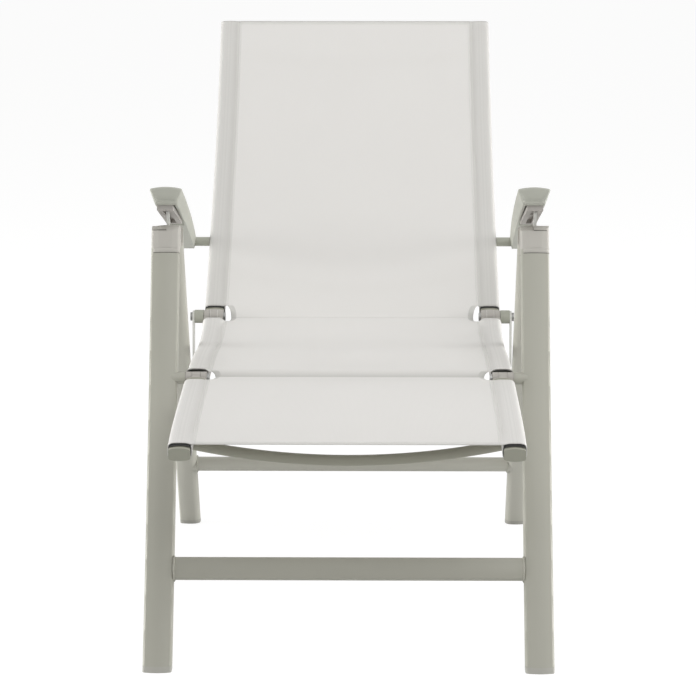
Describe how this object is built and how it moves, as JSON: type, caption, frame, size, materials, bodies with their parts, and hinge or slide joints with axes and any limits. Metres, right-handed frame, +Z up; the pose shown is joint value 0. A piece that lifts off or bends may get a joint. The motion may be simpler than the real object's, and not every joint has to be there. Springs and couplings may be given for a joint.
{
  "type": "reclining garden armchair",
  "caption": "Folding garden armchair with fabric slings on a tubular frame, a raised footrest and a backrest that reclines by sliding its armrests along notched racks.",
  "frame": {"origin": "on the floor, under the middle of the chair's bounding box", "axes": "+Z up, -Y the way the sitter faces, +X across the seat to the right of a viewer in front of it"},
  "size_m": [0.6042, 1.4038, 0.8223],
  "materials": {
    "leg_paint": "satin powder coat",
    "rail_paint": "satin powder coat",
    "cap_plastic": "fine grain",
    "fitting_plastic": "fine grain",
    "arm_plastic": "fine grain",
    "foot_rubber": "matt",
    "bolt_steel": "zinc plated",
    "plate_metal": "zinc plated",
    "sling_fabric": "woven coated mesh"
  },
  "bodies": {
    "front_frame": {"front_leg_left": "leg_paint", "front_leg_right": "leg_paint", "front_foot_left": "foot_rubber", "front_foot_right": "foot_rubber", "front_hinge_cap_left": "cap_plastic", "front_hinge_cap_right": "cap_plastic", "leg_hinge_pins": "bolt_steel", "arm_tongues": "plate_metal", "seat_brackets": "leg_paint", "seat_bolts": "bolt_steel", "front_crossbar": "leg_paint"},
    "rear_frame": {"rear_leg_left": "leg_paint", "rear_leg_right": "leg_paint", "rear_foot_left": "foot_rubber", "rear_foot_right": "foot_rubber", "rear_hinge_cap_left": "cap_plastic", "rear_hinge_cap_right": "cap_plastic", "link_bosses": "leg_paint", "rear_crossbar": "leg_paint"},
    "seat": {"seat_rail_left": "rail_paint", "seat_rail_right": "rail_paint", "seat_rear_hinge_left": "fitting_plastic", "seat_rear_hinge_right": "fitting_plastic", "seat_front_hinge_left": "fitting_plastic", "seat_front_hinge_right": "fitting_plastic", "seat_cross_tube": "rail_paint", "sling_seat": "sling_fabric"},
    "footrest": {"foot_rail_left": "rail_paint", "foot_rail_right": "rail_paint", "foot_hinge_left": "fitting_plastic", "foot_hinge_right": "fitting_plastic", "foot_end_caps": "fitting_plastic", "foot_cross_tube": "rail_paint", "sling_foot": "sling_fabric"},
    "back_hinge": {"hinge_bolts": "bolt_steel", "hinge_nuts": "bolt_steel", "hinge_collars": "fitting_plastic"},
    "backrest": {"back_rail_left": "rail_paint", "back_rail_right": "rail_paint", "back_knuckle_left": "fitting_plastic", "back_knuckle_right": "fitting_plastic", "back_end_caps": "fitting_plastic", "back_cross_lower": "rail_paint", "back_cross_upper": "rail_paint", "sling_back": "sling_fabric"},
    "arm_pivot_left": {"arm_sleeve_left": "arm_plastic", "arm_bolt_left": "bolt_steel"},
    "armrest_left": {"armrest_left": "arm_plastic", "arm_rack_left": "arm_plastic"},
    "link_left": {"link_bar_left": "plate_metal", "link_bolt_left": "bolt_steel"},
    "arm_pivot_right": {"arm_sleeve_right": "arm_plastic", "arm_bolt_right": "bolt_steel"},
    "armrest_right": {"armrest_right": "arm_plastic", "arm_rack_right": "arm_plastic"},
    "link_right": {"link_bar_right": "plate_metal", "link_bolt_right": "bolt_steel"}
  },
  "joints": [
    {"name": "leg_fold", "type": "hinge", "parent": "front_frame", "child": "rear_frame", "pos_m": [0, -0.22556, 0.58725], "axis": [-1, 0, 0], "range_deg": [0, 56]},
    {"name": "seat_fold", "type": "hinge", "parent": "front_frame", "child": "seat", "pos_m": [0, -0.32709, 0.39203], "axis": [-1, 0, 0], "range_deg": [0, 87]},
    {"name": "footrest_tilt", "type": "hinge", "parent": "seat", "child": "footrest", "pos_m": [0, -0.32709, 0.39203], "axis": [1, 0, 0], "range_deg": [0, 50]},
    {"name": "back_fold", "type": "hinge", "parent": "seat", "child": "back_hinge", "pos_m": [0, 0.10775, 0.39288], "axis": [1, 0, 0], "range_deg": [0, 91]},
    {"name": "recline", "type": "hinge", "parent": "back_hinge", "child": "backrest", "pos_m": [0, 0.10775, 0.39288], "axis": [1, 0, 0], "range_deg": [0, 44]},
    {"name": "arm_level_left", "type": "hinge", "parent": "backrest", "child": "arm_pivot_left", "pos_m": [0, 0.28847, 0.48559], "axis": [1, 0, 0], "range_deg": [-36, 1]},
    {"name": "arm_fold_left", "type": "hinge", "parent": "arm_pivot_left", "child": "armrest_left", "pos_m": [0, 0.28847, 0.48559], "axis": [1, 0, 0], "range_deg": [-127, 1]},
    {"name": "link_swing_left", "type": "hinge", "parent": "seat", "child": "link_left", "pos_m": [0, 0.10775, 0.39288], "axis": [1, 0, 0], "range_deg": [-63, 1]},
    {"name": "arm_level_right", "type": "hinge", "parent": "backrest", "child": "arm_pivot_right", "pos_m": [0, 0.28847, 0.48559], "axis": [1, 0, 0], "range_deg": [-36, 1]},
    {"name": "arm_fold_right", "type": "hinge", "parent": "arm_pivot_right", "child": "armrest_right", "pos_m": [0, 0.28847, 0.48559], "axis": [1, 0, 0], "range_deg": [-127, 1]},
    {"name": "link_swing_right", "type": "hinge", "parent": "seat", "child": "link_right", "pos_m": [0, 0.10775, 0.39288], "axis": [1, 0, 0], "range_deg": [-63, 1]}
  ],
  "couplings": [
    {"joint": "seat_fold", "follows": "leg_fold", "ratio": 1.536},
    {"joint": "back_fold", "follows": "leg_fold", "ratio": 1.605},
    {"joint": "arm_level_left", "follows": "recline", "ratio": -0.797},
    {"joint": "arm_fold_left", "follows": "leg_fold", "ratio": -2.232},
    {"joint": "link_swing_left", "follows": "leg_fold", "ratio": -1.105},
    {"joint": "arm_level_right", "follows": "recline", "ratio": -0.797},
    {"joint": "arm_fold_right", "follows": "leg_fold", "ratio": -2.232},
    {"joint": "link_swing_right", "follows": "leg_fold", "ratio": -1.105}
  ]
}
